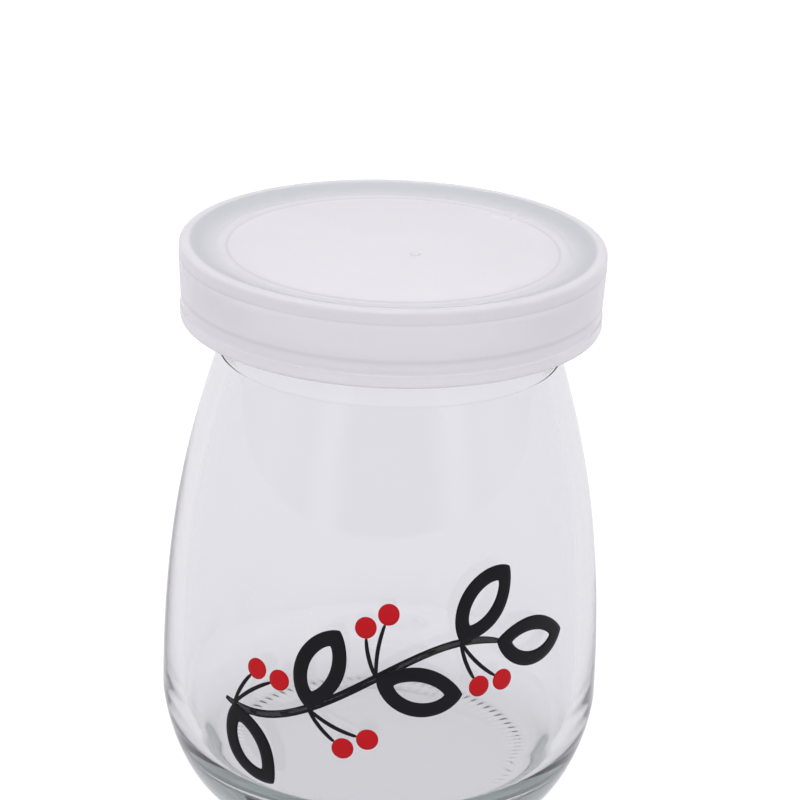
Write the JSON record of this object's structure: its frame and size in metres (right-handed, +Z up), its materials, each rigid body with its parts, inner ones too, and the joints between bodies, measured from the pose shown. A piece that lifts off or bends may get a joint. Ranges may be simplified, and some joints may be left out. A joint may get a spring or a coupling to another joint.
{
  "type": "pudding jar",
  "caption": "Small clear glass pudding jar with a rounded heel, tapering shoulder and milky press-on plastic lid, printed with a sprig on the front. Empty.",
  "frame": {"origin": "on the table under the centre of the jar's base", "axes": "+Z up along the jar's axis, -Y towards the printed front, +X to the right as seen from the front"},
  "size_m": [0.06, 0.06, 0.0785],
  "materials": {
    "clear_glass": "clear, polished, faint grey-green at the thick base",
    "milky_plastic": "translucent, satin",
    "black_print": "screen print on glass",
    "red_print": "screen print on glass"
  },
  "bodies": {
    "root": {"glass_jar": "clear_glass", "lid": "milky_plastic"}
  },
  "joints": []
}
